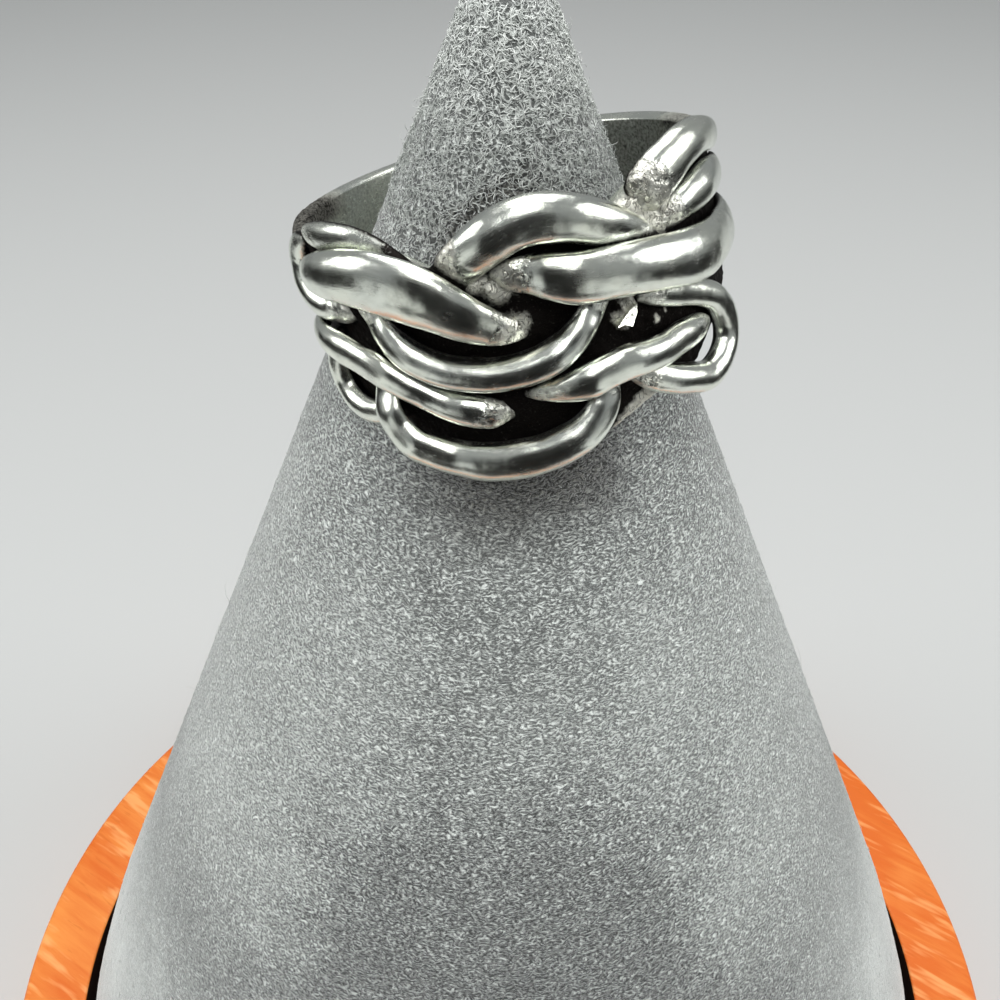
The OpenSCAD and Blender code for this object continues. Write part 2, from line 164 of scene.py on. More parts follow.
# Length of metal from a strand's sunk end over which its cast skin fades, and the reach of its rounded tip
CAST_FOOT, END_REACH = (1.0, 1.7), 0.22
# Power that squares a strand's section a little, and how deep an underside on the sleeve sinks into it
SQUARED, SINK = 0.94, 0.1
# Height of the ripples in a strand's polished skin and of the lumps in its cast skin
RIPPLE, CAST_LUMP = 0.014, 0.05
# Heights over the sleeve between which the tarnish on a strand ends
TARNISH_ENDS = (0.12, 0.42)
# Crevice by another strand: how far beside it the tarnish ends, how far under its top it starts
CREVICE_BESIDE, CREVICE_UNDER = (-0.1, 0.32), (-0.05, 0.25)
# Top loop: up to these angles its crevices are polished, and it is bare cast metal in the dip between these
LOOP_POLISHED_BEFORE = (-30, -22)
LOOP_CAST_DIP = (-20, -17, -9, -6)

# Lumps of cast metal on the sleeve between the strands: angle, height, radius, how proud they stand
WEBS = np.array([
    [-1, 2.8, 0.9, 0.42], [4, 1.3, 0.8, 0.38], [-5, 3.2, 0.8, 0.35], [5, 2.5, 0.6, 0.3],
    [-14, 3.3, 1.0, 0.3], [29.5, -0.2, 0.5, 0.15], [32, 0.4, 0.4, 0.2], [38, -0.9, 0.5, 0.25],
    [24, 1.9, 0.7, 0.35], [-3, -2.4, 0.8, 0.35], [2, -2.1, 0.7, 0.3], [23, -1.9, 0.6, 0.3],
    [36, 4.2, 0.9, 0.45], [39, 3.6, 0.9, 0.42], [43, 3.1, 0.8, 0.42], [46, 3.8, 0.7, 0.4],
    [50, 4.1, 0.6, 0.3], [-36, -2.7, 0.6, 0.3], [28, -2.6, 0.7, 0.3], [-42, 2.1, 0.7, 0.3],
    [-58, 5.0, 0.7, 0.3], [-52, 5.3, 0.6, 0.25],
])
# Bare bright metal among the tarnish: angle, height, radius
FLECKS = np.array([
    [28.8, -0.15, 0.5], [31, 0.35, 0.5], [38, -0.9, 0.2], [42, -0.75, 0.15], [0, 2.9, 0.7],
    [3, 1.4, 0.5], [-5, 3.3, 0.5], [36, 4.3, 1.0], [40, 3.5, 1.1], [43, 3.0, 0.8],
    [46, 3.8, 0.8], [50, 4.2, 0.5],
])
# Bright flake beside the cradle's right end: (angle, height, how proud it is), the way it faces, its depth
FLAKE_AT = (29.3, 0.05, 0.38)
FLAKE_FACES = np.array([-0.05, -0.70, 0.69])
FLAKE_DEPTH = 0.78
# Its outline, as (across, up), and the point in its middle
FLAKE = np.array([
    [0.33, 0.53], [0.1, 0.3], [-0.12, -0.05], [-0.4, -0.52], [-0.1, -0.35], [0.2, -0.42], [0.36, 0.2],
])
FLAKE_MIDDLE = [0.1, -0.1]
# Stretches of the lower rim that are polished bright: first and last angle, greatest width
BRIGHT_RIM = np.array([[-58, -22, 0.5], [18, 45, 0.85]])
# Angles over which the plain band ends at the left and starts at the right
BAND_LEFT, BAND_RIGHT = (-77, -71), (98, 104)
# Angles between which the front is as cast, and so is the top rim at its left and right end
FRONT_CAST = (-76, -68, 88, 102)
LEFT_RIM_CAST, RIGHT_RIM_CAST = (-118, -104, -62, -54), (60, 70, 112, 122)
# Shares of the shank's half height that are straight and rounded
STRAIGHT, ROUNDED = 0.93, 0.07

# Rims of the front half as (sideways distance, height), of the back half as (backward distance, height)
RIM_TOP = np.array([
    [-12, 3.9], [-8.6, 3.9], [-8, 4.8], [-5, 5.2], [-3.4, 4.6], [-2.4, 4.0], [-1.2, 4.2],
    [0, 4.9], [1.6, 5.3], [3.2, 4.9], [4.6, 4.6], [6, 5.2], [8, 5.0], [8.6, 3.9], [12, 3.9],
])
RIM_LOW = np.array([
    [-12, -3], [-8.6, -3], [-8, -3.7], [-6, -4.5], [-3, -5.1], [0, -5.3], [2.6, -5.3],
    [4.8, -4.5], [7, -4.4], [8.6, -3], [12, -3],
])
BACK_TOP = np.array([[0, 3.88], [9.6, 2.2], [12, 2]])
BACK_LOW = np.array([[0, -3], [9.6, -1.6], [12, -1.5]])

# Painted light and shade on the suede, by angle from the front: painted sheen on the sides, lighter
# flanks, darker middle, and where the lighter band ends at the back
SHEEN_SIDES, FLANKS, MIDDLE, LIGHT_ENDS = (44, 66, 110, 130), (10, 38), (22, 50), (100, 130)
# Painted light and shade on the suede, by height: painted sheen below, darker middle, lighter band, and
# how much lower that starts on the flanks
SHEEN_BELOW, DARK_BAND, LIGHT_BAND, FLANK_DROP = (26, 48), (16, 32, 51, 62), (54, 64, 63, 74), 14
# Painted shade on the suede under the ring: down from its low rim, and to both sides
SHADE_DOWN, SHADE_ASIDE = (2.6, 7.0), (16, 52)
# Space round the ring without loose fibres: height either way, inner and outer radius
FIBRE_FREE = (6.2, 8.0, 11.5)
# Loose suede fibres: name, count, lowest and highest root, length, thickness, stand, spread of turn, seed
NAP = (
    ("cone_nap_tip", 9600, 71, TIP_Z + 1.6, 0.42, 0.075, 0.16, 2.0, 41),
    ("cone_nap_low", 6000, 12, 71, 0.45, 0.05, 0.12, 0.5, 43),
    ("cone_stray_hairs", 110, 30, TIP_Z, 1.6, 0.035, 0.8, 2.0, 42),
    ("cone_tufts", 300, 72, TIP_Z + 1, 0.6, 0.045, 0.5, 2.0, 44),
)
# Turn of the wood's grain about Z
GRAIN_TURN = np.radians(34)

# Stage in metres. Dark cards that only reflections show: name, centre, size, turn
QUARTER = np.radians(90)
CARDS = (
    ("front_card", (0, -0.085, 0.06), (0.10, 0.12), (QUARTER, 0, 0)),
    ("low_card", (0, -0.064, 0.014), (0.12, 0.04), (0, 0, 0)),
    ("left_card", (-0.12, 0, 0.03), (0.16, 0.07), (QUARTER, 0, QUARTER)),
    ("right_card", (0.12, 0, 0.03), (0.16, 0.07), (QUARTER, 0, QUARTER)),
)
# Soft lights: name, place, point they face, size, power
LIGHTS = (
    ("overhead", (0.0, 0.06, 0.36), (0, 0, 0.06), 0.26, 0.7),
    ("front_top", (0.0, -0.27, 0.44), (0, 0, 0.05), 0.22, 0.95),
    ("left_window", (-0.34, -0.05, 0.22), (0, 0, 0.07), 0.2, 0.52),
    ("right_window", (0.34, -0.03, 0.22), (0, 0, 0.07), 0.2, 0.54),
)
# Camera, fitted to the cone's edges and the base's circles: place in mm, tilt down, turn, roll, lens, sensor
CAMERA_AT = np.array([-0.286, -49.254, 106.767])
PITCH, YAW, ROLL = np.radians(40.78), np.radians(0.042), np.radians(0.258)
LENS, SENSOR = 41.4, 36.0


# ---- numbers and points ----
def step(x, low, high):
    """0 under low, 1 over high, with a smooth cubic ramp between."""
    t = np.clip((x - low) / (high - low), 0, 1)
    return t * t * (3 - 2 * t)


def between(x, rise_from, rise_to, fall_from, fall_to):
    """1 from rise_to to fall_from, 0 before rise_from and after fall_to, with smooth ramps."""
    return step(x, rise_from, rise_to) * (1 - step(x, fall_from, fall_to))


def waves(p, size, seed, octaves=3):
    """Smooth random field at points p: a sum of sines along random directions. Each octave is half as long
    and strong as the last."""
    r = np.random.default_rng(seed)
    out = np.zeros(p.shape[:-1])
    for k in range(octaves):
        d = r.normal(size=(6, 3))
        d *= (2 * np.pi / size) * 2.0**k / np.linalg.norm(d, axis=1, keepdims=True)
        out += (np.sin(p @ d.T + r.uniform(0, 6.28, 6))).sum(-1) / 6 / 2.0**k
    return out


def ring_turn():
    """Rotation that lowers the ring's back and lifts its right side: about X, then about Y."""
    a, b = -TILT_BACK, -TILT_RIGHT
    rx = np.array([[1, 0, 0], [0, np.cos(a), -np.sin(a)], [0, np.sin(a), np.cos(a)]])
    ry = np.array([[np.cos(b), 0, np.sin(b)], [0, 1, 0], [-np.sin(b), 0, np.cos(b)]])
    return ry @ rx


TURN = ring_turn()


def placed(p):
    """Points of the ring's own frame, moved to where it hangs on the cone."""
    return p @ TURN.T + CENTRE


def in_ring(p):
    """Points of the shared frame, as the ring's own frame sees them."""
    return (p - CENTRE) @ TURN


def turned(radius, angle, z):
    """Points at a radius and an angle round the Z axis, counted from the front, and a height."""
    return np.stack([radius * np.sin(angle), -radius * np.cos(angle), z], -1)


def unit(v):
    """Vectors of the same directions, one long."""
    return v / np.linalg.norm(v, axis=-1, keepdims=True)


def rim_heights(angle, radius):
    """Top and low rim heights at an angle round the ring, by the front tables there, the back ones behind."""
    x, y = radius * np.sin(angle), -radius * np.cos(angle)
    top = np.where(y < 0, np.interp(x, *RIM_TOP.T), np.interp(y, *BACK_TOP.T))
    low = np.where(y < 0, np.interp(x, *RIM_LOW.T), np.interp(y, *BACK_LOW.T))
    return top, low


def smooth_rows(rows, steps):
    """Catmull-Rom curve through the rows, with the given number of steps between two rows."""
    p = np.array(rows, float)
    p = np.vstack([p[:1], p, p[-1:]])
    a, b, c, d = (p[k:len(p) - 3 + k, None, :] for k in range(4))
    t = (np.arange(steps) / steps)[None, :, None]
    q = b + t * (c - a) / 2
    q = q + t**2 * (a - 2.5 * b + 2 * c - d / 2)
    q = q + t**3 * (-a / 2 + 1.5 * b - 1.5 * c + d / 2)
    return np.vstack([q.reshape(-1, p.shape[1]), p[-1:]])


# ---- meshes ----
def add_mesh(name, verts, faces, smooth=True, attributes=None, uv=None):
    """Mesh from millimetre points and arrays of faces, with named values and a UV pair for each point."""
    me = bpy.data.meshes.new(name)
    me.from_pydata((verts * 0.001).tolist(), [], [face for block in faces for face in block.tolist()])
    me.update()
    if smooth:
        me.polygons.foreach_set("use_smooth", np.ones(len(me.polygons), bool))
    for key, value in (attributes or {}).items():
        me.attributes.new(key, "FLOAT", "POINT").data.foreach_set("value", value.astype(np.float32).ravel())
    if uv is not None:
        loops = np.empty(len(me.loops), np.int32)
        me.loops.foreach_get("vertex_index", loops)
        me.uv_layers.new(name="UVMap").data.foreach_set("uv", uv[loops].astype(np.float32).ravel())
    ob = bpy.data.objects.new(name, me)
    bpy.context.collection.objects.link(ob)
    return ob


def grid_faces(rows, cols, wrap_rows=False):
    """Quads between neighbours in a grid that closes round its columns, and its rows where asked."""
    i = np.arange(rows if wrap_rows else rows - 1)[:, None]
    j = np.arange(cols)[None, :]
    a = i * cols + j
    b = i * cols + (j + 1) % cols
    c = ((i + 1) % rows) * cols + (j + 1) % cols
    d = ((i + 1) % rows) * cols + j
    return np.stack([a, b, c, d], -1).reshape(-1, 4)


def closed_faces(rows, cols):
    """Faces of a grid whose two open ends close in fans on two more points, which follow the grid's own
    points, as three arrays."""
    j = np.arange(cols)
    k = (j + 1) % cols
    last = (rows - 1) * cols
    start = np.stack([np.full(cols, rows * cols), k, j], -1)
    end = np.stack([np.full(cols, rows * cols + 1), last + j, last + k], -1)
    return [grid_faces(rows, cols), start, end]


# ---- material nodes ----
def new_material(name):
    """Material with an empty tree, its Principled shader and output joined."""
    m = bpy.data.materials.new(name)
    m.use_nodes = True
    nt = m.node_tree
    nt.nodes.clear()
    out = nt.nodes.new("ShaderNodeOutputMaterial")
    bsdf = nt.nodes.new("ShaderNodeBsdfPrincipled")
    nt.links.new(bsdf.outputs[0], out.inputs[0])
    return m, nt, bsdf


def fill(nt, n, values):
    """Give a node's inputs their values by number: a socket is linked, anything else is set."""
    for k, v in values.items():
        if isinstance(v, bpy.types.NodeSocket):
            nt.links.new(v, n.inputs[k])
        else:
            n.inputs[k].default_value = v


def mix(nt, factor, a, b, how="MIX"):
    """Colour between a and b by factor."""
    n = nt.nodes.new("ShaderNodeMix")
    n.data_type, n.blend_type = "RGBA", how
    fill(nt, n, {0: factor, 6: a, 7: b})
    return n.outputs[2]


def blend(nt, factor, a, b):
    """Value between a and b by factor."""
    n = nt.nodes.new("ShaderNodeMix")
    fill(nt, n, {0: factor, 2: a, 3: b})
    return n.outputs[0]


def maths(nt, how, a, b=0.0, clamp=False):
    """One Math node on two sockets or numbers."""
    n = nt.nodes.new("ShaderNodeMath")
    n.operation = how
    n.use_clamp = clamp
    fill(nt, n, {0: a, 1: b})
    return n.outputs[0]


def added(nt, a, b):
    """a plus b."""
    return maths(nt, "ADD", a, b)


def times(nt, a, b):
    """a times b."""
    return maths(nt, "MULTIPLY", a, b)


def from_middle(nt, value):
    """How far a value lies from a half, either way."""
    return maths(nt, "ABSOLUTE", maths(nt, "SUBTRACT", value, 0.5))


def ramp(nt, value, low, high, to_low=0.0, to_high=1.0):
    """value mapped from low..high to to_low..to_high, held at both ends."""
    n = nt.nodes.new("ShaderNodeMapRange")
    fill(nt, n, {0: value, 1: low, 2: high, 3: to_low, 4: to_high})
    return n.outputs[0]


def noise(nt, coords, scale, detail=3.0, rough=0.55, distort=0.0):
    """Noise value at coords times scale."""
    n = nt.nodes.new("ShaderNodeTexNoise")
    fill(nt, n, {"Vector": coords, "Scale": scale, "Detail": detail})
    fill(nt, n, {"Roughness": rough, "Distortion": distort})
    return n.outputs[0]


def mapped(nt, coords, scale=(1.0, 1.0, 1.0), turn=0.0):
    """Coordinates stretched by scale, then turned about Z."""
    n = nt.nodes.new("ShaderNodeMapping")
    fill(nt, n, {"Vector": coords, "Scale": scale, "Rotation": (0, 0, turn)})
    return n.outputs[0]


def attribute(nt, name):
    """The piece's own per-vertex value of that name."""
    n = nt.nodes.new("ShaderNodeAttribute")
    n.attribute_name = name
    return n.outputs["Fac"]


def xyz(nt, coords):
    """The three coordinates as values of their own."""
    n = nt.nodes.new("ShaderNodeSeparateXYZ")
    nt.links.new(coords, n.inputs[0])
    return n.outputs


def tones(nt, value, first, last, middle=None):
    """Colour ramp over value between stops, each a (position, colour) pair."""
    n = nt.nodes.new("ShaderNodeValToRGB")
    for stop, (position, colour) in zip(n.color_ramp.elements, (first, last)):
        stop.position, stop.color = position, colour
    if middle:
        n.color_ramp.elements.new(middle[0]).color = middle[1]
    nt.links.new(value, n.inputs[0])
    return n.outputs[0]


def bump(nt, height, strength, distance, normal=None):
    """Normal bent by a height, its full distance in metres, on top of another normal where there is one."""
    n = nt.nodes.new("ShaderNodeBump")
    fill(nt, n, {"Strength": strength, "Distance": distance, "Height": height})
    if normal is not None:
        nt.links.new(normal, n.inputs["Normal"])
    return n.outputs[0]


# ---- materials ----
def silver_material(name, polish=0.16, cast_rough=0.17):
    """Polished silver. Fine lengthwise scratches and slow hand-filed facets bend its reflections, the skin
    is pitted as cast where "cast" is 1, and it is black with tarnish where "dark" is 1. Inside the band's
    bore that black is painted shade."""
    m, nt, bsdf = new_material(name)
    co = nt.nodes.new("ShaderNodeTexCoord")
    obj, uv = co.outputs["Object"], co.outputs["UV"]
    dark, cast = attribute(nt, "dark"), attribute(nt, "cast")
    speckle = noise(nt, obj, 7000, 4, 0.65)
    # Tarnish from "dark"; inside the band's bore it is painted shade
    tarnish = maths(nt, "ADD", times(nt, dark, 1.2), ramp(nt, speckle, 0.3, 0.7, -0.3, 0.2), clamp=True)
    tarnish = maths(nt, "MULTIPLY", tarnish, ramp(nt, dark, 0.0, 0.12), clamp=True)
    lines = noise(nt, mapped(nt, uv, scale=(1.0, 12.0, 1.0)), 1.4, 5, 0.75)
    smudge = noise(nt, obj, 1100, 3, 0.6)

    patches = ramp(nt, noise(nt, obj, 500, 2), 0.35, 0.65)
    tint = mix(nt, patches, (0.93, 0.96, 0.85, 1), (0.85, 0.885, 0.81, 1))
    tint = mix(nt, ramp(nt, smudge, 0.5, 0.75, 0.0, 0.35), tint, (0.60, 0.59, 0.55, 1))
    tint = mix(nt, ramp(nt, lines, 0.4, 0.3, 0.0, 0.4), tint, (0.34, 0.325, 0.29, 1))
    folds = ramp(nt, from_middle(nt, noise(nt, obj, 2300, 2, 0.55, 1.2)), 0.004, 0.03)
    skin = mix(nt, ramp(nt, speckle, 0.3, 0.55), (0.62, 0.60, 0.52, 1), (0.95, 0.94, 0.85, 1))
    skin = mix(nt, folds, (0.16, 0.145, 0.115, 1), skin)
    colour = mix(nt, tarnish, mix(nt, cast, tint, skin), (0.014, 0.012, 0.011, 1))
    nt.links.new(colour, bsdf.inputs["Base Color"])

    rough = added(nt, ramp(nt, lines, 0.3, 0.7, polish - 0.05, polish + 0.07), times(nt, cast, cast_rough))
    rough = added(nt, rough, ramp(nt, smudge, 0.4, 0.75, 0.0, 0.12))
    rough = maths(nt, "ADD", rough, times(nt, tarnish, 0.25), clamp=True)
    nt.links.new(rough, bsdf.inputs["Roughness"])
    bsdf.inputs["Metallic"].default_value = 1.0

    facets = bump(nt, noise(nt, obj, 520, 2, 0.5), 0.55, 0.00016)
    ripples = bump(nt, noise(nt, obj, 1700, 2, 0.5), 0.22, 0.00005, facets)
    scratches = bump(nt, lines, 0.35, 0.000018, ripples)
    wear_and_shade = maths(nt, "ADD", cast, times(nt, tarnish, 0.15), clamp=True)
    grain = added(nt, times(nt, folds, 0.3), noise(nt, obj, 1900, 4, 0.6))
    nt.links.new(bump(nt, times(nt, grain, wear_and_shade), 0.9, 0.00016, scratches), bsdf.inputs["Normal"])
    return m


def suede_material():
    """Grey suede. Near the tip its nap stands up in curled light fibres: one lies wherever a bent noise
    crosses its middle value. Lower down it is brushed round the cone in short dashes, and lower still it is
    mottled. Where "smooth" is 1 a painted sheen makes its nap plainer and paler, painted shade darkens it
    under the ring's front and at its foot, and "pale" adds painted light and shade to its tone: lighter
    flanks and upper band, darker low middle."""
    m, nt, bsdf = new_material("grey_suede")
    obj = nt.nodes.new("ShaderNodeTexCoord").outputs["Object"]
    warp = nt.nodes.new("ShaderNodeTexNoise")
    fill(nt, warp, {"Vector": obj, "Scale": 1500, "Detail": 1})
    shift = nt.nodes.new("ShaderNodeVectorMath")
    shift.operation = "MULTIPLY_ADD"
    fill(nt, shift, {0: warp.outputs["Color"], 1: (0.0005, 0.0005, 0.0005), 2: obj})
    bent = shift.outputs[0]
    flat = mapped(nt, bent, scale=(1.0, 1.0, 2.1))
    curls = ramp(nt, from_middle(nt, noise(nt, bent, 3900, 1.5, 0.5, 0.3)), 0.01, 0.12, 1.0, 0.0)
    dashes = ramp(nt, noise(nt, flat, 5200, 2, 0.6), 0.4, 0.62, 0.0, 1.1)
    mottle = ramp(nt, noise(nt, flat, 2600, 3, 0.75), 0.37, 0.72, 0.0, 0.86)
    fine = noise(nt, obj, 9000, 2, 0.7)

    height = xyz(nt, obj)[2]
    brushed = ramp(nt, height, 0.083, 0.074)
    low_down = ramp(nt, height, 0.05, 0.022)
    nap = blend(nt, brushed, curls, blend(nt, low_down, dashes, mottle))
    # Painted sheen: plainer, paler nap on both sides low down, where "smooth" is 1
    nap = blend(nt, attribute(nt, "smooth"), nap, ramp(nt, nap, 0.0, 1.0, 0.55, 0.85))
    tone = added(nt, times(nt, nap, 0.74), times(nt, fine, 0.32))
    tone = added(nt, tone, ramp(nt, noise(nt, obj, 110, 3, 0.6), 0.3, 0.7, -0.07, 0.07))
    # Painted light on the flanks and an upper band, painted shade low in the middle
    tone = added(nt, tone, attribute(nt, "pale"))
    shade = tones(nt, tone, (0.08, (0.075, 0.08, 0.076, 1)), (0.95, (0.9, 0.945, 0.9, 1)),
                  middle=(0.5, (0.32, 0.342, 0.325, 1)))
    # Painted shade darkens the suede under the ring's front and at its foot
    wear_and_shade = times(nt, attribute(nt, "painted_shade"), ramp(nt, fine, 0.3, 0.6, 0.7, 1.0))
    colour = mix(nt, wear_and_shade, shade, (0.15, 0.14, 0.125, 1), how="MULTIPLY")
    nt.links.new(colour, bsdf.inputs["Base Color"])
    bsdf.inputs["Roughness"].default_value = 0.95
    bsdf.inputs["Sheen Weight"].default_value = 0.6
    bsdf.inputs["Sheen Roughness"].default_value = 0.35
    nt.links.new(bump(nt, tone, 1.0, 0.0002), bsdf.inputs["Normal"])
    return m


def wood_material():
    """Oiled orange-brown wood: straight grain across the base, with short pale rays and dark lines along
    it. Painted shade makes it deeper at the back and the right, and blackens it in the recess, where "dark"
    is 1."""
    m, nt, bsdf = new_material("orange_wood")
    obj = nt.nodes.new("ShaderNodeTexCoord").outputs["Object"]
    along = mapped(nt, obj, turn=GRAIN_TURN)
    streaks = mapped(nt, along, scale=(1.0, 6.0, 6.0))
    grain = noise(nt, mapped(nt, along, scale=(1.0, 8.0, 3.0)), 130, 4, 0.6, 0.3)
    rays = noise(nt, streaks, 190, 2, 0.5)
    lines = noise(nt, streaks, 330, 2, 0.6)
    blotch = noise(nt, obj, 90, 3, 0.55)

    across, back, _ = xyz(nt, obj)
    tone = added(nt, times(nt, grain, 0.45), times(nt, blotch, 0.55))
    # Painted light and shade: lighter at the front, darker at the back and towards the right
    tone = added(nt, tone, ramp(nt, back, -0.012, 0.022, 0.05, -0.1))
    tone = added(nt, tone, ramp(nt, across, 0.0, 0.035, 0.0, -0.13))
    colour = tones(nt, tone, (0.36, (0.70, 0.145, 0.016, 1)), (0.64, (0.86, 0.30, 0.06, 1)))
    colour = mix(nt, ramp(nt, rays, 0.53, 0.66, 0.0, 0.6), colour, (0.95, 0.45, 0.16, 1))
    colour = mix(nt, ramp(nt, lines, 0.38, 0.3, 0.0, 0.4), colour, (0.6, 0.13, 0.012, 1))
    # Painted shade blackens the recess round the cone's foot
    colour = mix(nt, attribute(nt, "dark"), colour, (0.02, 0.009, 0.005, 1))
    nt.links.new(colour, bsdf.inputs["Base Color"])
    nt.links.new(ramp(nt, grain, 0.3, 0.7, 0.42, 0.55), bsdf.inputs["Roughness"])
    bsdf.inputs["Specular IOR Level"].default_value = 0.3
    nt.links.new(bump(nt, added(nt, grain, rays), 0.3, 0.0001), bsdf.inputs["Normal"])
    return m


def fibre_material():
    """Light grey nap hair, each fibre with a tone of its own."""
    m, nt, bsdf = new_material("suede_fibre")
    tone = attribute(nt, "shade")
    speck = noise(nt, nt.nodes.new("ShaderNodeTexCoord").outputs["Object"], 3000, 2)
    tone = added(nt, times(nt, tone, 0.8), times(nt, speck, 0.2))
    nt.links.new(mix(nt, tone, (0.42, 0.445, 0.42, 1), (0.97, 1.0, 0.96, 1)), bsdf.inputs["Base Color"])
    bsdf.inputs["Roughness"].default_value = 0.8
    return m


SILVER = silver_material("polished_silver")
BAND_SILVER = silver_material("band_silver", 0.2, 0.32)
SUEDE = suede_material()
WOOD = wood_material()


# ---- strands ----
def strand_points(rows, steps=12, sides=36):
    """A domed section carried along the smoothed rows on the sleeve's cylinder. At section angle a the
    point lies across the path by half the width times cos a, and above the underside by the thickness times
    belly plus the rest of the sine. The ends close as an ellipse, and an underside on the sleeve sinks a
    little into it. Gives the points' place along, height and radius, the length along the path, and the
    path's own columns."""
    path = smooth_rows(rows, steps)
    u, z = np.radians(path[:, 0]) * CHART_R, path[:, 1]
    du, dz = np.gradient(u), np.gradient(z)
    length = np.hypot(du, dz)
    du, dz = du / length, dz / length
    t = np.sin(np.linspace(0, np.pi / 2, 6))[1:]
    closing = np.sqrt(np.clip(1 - t**2, 0.02, 1))

    def extended(v, first, last):
        """The column carried on over both rounded tips, by first and last at their far ends."""
        return np.concatenate([(v[0] + first * t)[::-1], v, v[-1] + last * t])

    size = np.concatenate([closing[::-1], np.ones(len(u)), closing])
    u = extended(u, -du[0] * END_REACH, du[-1] * END_REACH)
    z = extended(z, -dz[0] * END_REACH, dz[-1] * END_REACH)
    lift, thick, width = (extended(path[:, k], 0, 0) for k in (2, 3, 4))
    du, dz = extended(du, 0, 0), extended(dz, 0, 0)
    a = np.linspace(0, 2 * np.pi, sides, endpoint=False)
    ca, sa = np.cos(a), np.sin(a)
    across = (width * size / 2)[:, None] * (np.sign(ca) * np.abs(ca) ** SQUARED)[None, :]
    dome = np.where(sa > 0, BELLY + (1 - BELLY) * np.abs(sa) ** SQUARED, BELLY * (1 + sa))
    up = (thick * (0.35 + 0.65 * size))[:, None] * dome[None, :]
    sink = (1 - step(lift, 0.02, 0.2))[:, None] * SINK * np.clip(-sa, 0, 1)[None, :]
    uu = u[:, None] - dz[:, None] * across
    zz = z[:, None] + du[:, None] * across
    rr = SLEEVE_R + GAP + lift[:, None] + up - sink
    along = np.concatenate([[0], np.cumsum(np.hypot(np.diff(u), np.diff(z)))])
    return uu, zz, rr, along, (u, z, lift, thick, width)


def crevices(name, point, height, mids):
    """1 at points of a strand that another strand passes close above or beside, 0 where none is near. A
    point's distance is to the other's middle line, less half its width."""
    deep = np.zeros(len(point))
    for other, (ou, oz, olift, othick, owidth) in mids.items():
        if other == name:
            continue
        d = np.hypot(point[:, None, 0] - ou[None, :], point[:, None, 1] - oz[None, :])
        k = d.argmin(1)
        beside = d[np.arange(len(k)), k] - owidth[k] / 2
        above = olift[k] + othick[k] * 0.75 - height
        deep = np.maximum(deep, (1 - step(beside, *CREVICE_BESIDE)) * step(above, *CREVICE_UNDER))
    return deep


def strand_wear(name, uu, zz, rr, along, mids):
    """Tarnish and cast-skin values of a strand's points. Tarnish grows near the sleeve and where another
    strand is close; cast skin covers the feet, where a strand dives, with a ragged edge."""
    height = rr - SLEEVE_R - GAP
    turn = np.degrees(uu / CHART_R)
    deep = crevices(name, np.stack([uu.ravel(), zz.ravel()], -1), height.ravel(), mids).reshape(uu.shape)
    if name == "top_loop_strand":
        deep *= 0.35 + 0.65 * step(turn, *LOOP_POLISHED_BEFORE)
    dark = np.maximum(1 - step(height, *TARNISH_ENDS), 0.95 * deep)
    p = np.stack([uu, zz, rr], -1)
    ragged = 0.45 * waves(p, 1.1, 5)
    first, last = ROUGH_ENDS[name]
    cast = first * (1 - step(along[:, None] + ragged, *CAST_FOOT))
    cast = np.maximum(cast, last * (1 - step(along[-1] - along[:, None] + ragged, *CAST_FOOT)))
    if name == "top_loop_strand":
        cast = np.maximum(cast, between(turn + 4 * ragged, *LOOP_CAST_DIP))
    dark = np.maximum(dark, 0.5 * cast * step(waves(p, 0.7, 6), 0.1, 0.5))
    return dark, cast


def finished_strands():
    """Every strand's surface: its points, roughened a little and more where it is as cast, wrapped round
    the ring's axis by the chart's radius and closed at both tips."""
    made = {name: strand_points(rows) for name, rows in STRANDS.items()}
    mids = {name: m[4] for name, m in made.items()}
    for name, (uu, zz, rr, along, _) in made.items():
        rows, cols = uu.shape
        dark, cast = strand_wear(name, uu, zz, rr, along, mids)
        p = np.stack([uu, zz, rr], -1)
        rr = rr + RIPPLE * waves(p, 1.6, 3, 2) + CAST_LUMP * cast * waves(p, 0.45, 9, 3)
        v = placed(turned(rr, uu / CHART_R, zz)).reshape(-1, 3)
        tips = np.stack([v[:cols].mean(0), v[-cols:].mean(0)])
        values = {
            "dark": np.append(dark.ravel(), [1, 1]),
            "cast": np.append(cast.ravel(), [1, 1]),
        }
        uv = np.stack([np.repeat(along, cols), np.tile(np.arange(cols) / cols * 4.0, rows)], -1)
        uv = np.vstack([uv, [[0, 0], [along[-1], 0]]])
        faces = closed_faces(rows, cols)
        ob = add_mesh(name + "_metal", np.vstack([v, tips]), faces, attributes=values, uv=uv)
        ob.data.materials.append(SILVER)
        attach(ob, "root")
        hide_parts(name)


# ---- shank ----
def shank_profile():
    """Section of the band as rows of (share of the wall from bore to outside, share of the height): up the
    outside in many rows for the cast lumps, over the rounded top, down the bore and round the bottom."""
    outside = np.stack([np.ones(45), np.linspace(-STRAIGHT, STRAIGHT, 45)], -1)
    e = np.linspace(0, np.pi, 12)[1:-1]
    top = np.stack([0.5 + 0.5 * np.cos(e), STRAIGHT + ROUNDED * np.sin(e)], -1)
    bore = np.stack([np.zeros(12), np.linspace(STRAIGHT, -STRAIGHT, 12)], -1)
    bottom = np.stack([0.5 - 0.5 * np.cos(e), -STRAIGHT - ROUNDED * np.sin(e)], -1)
    return np.vstack([outside, top, bore, bottom])


def spots(table, u, z):
    """Distance of each point from each spot of a table (angle, height, radius), as a share of that radius."""
    sideways = u[..., None] - np.radians(table[:, 0]) * CHART_R
    return np.hypot(sideways, z[..., None] - table[:, 1]) / table[:, 2]


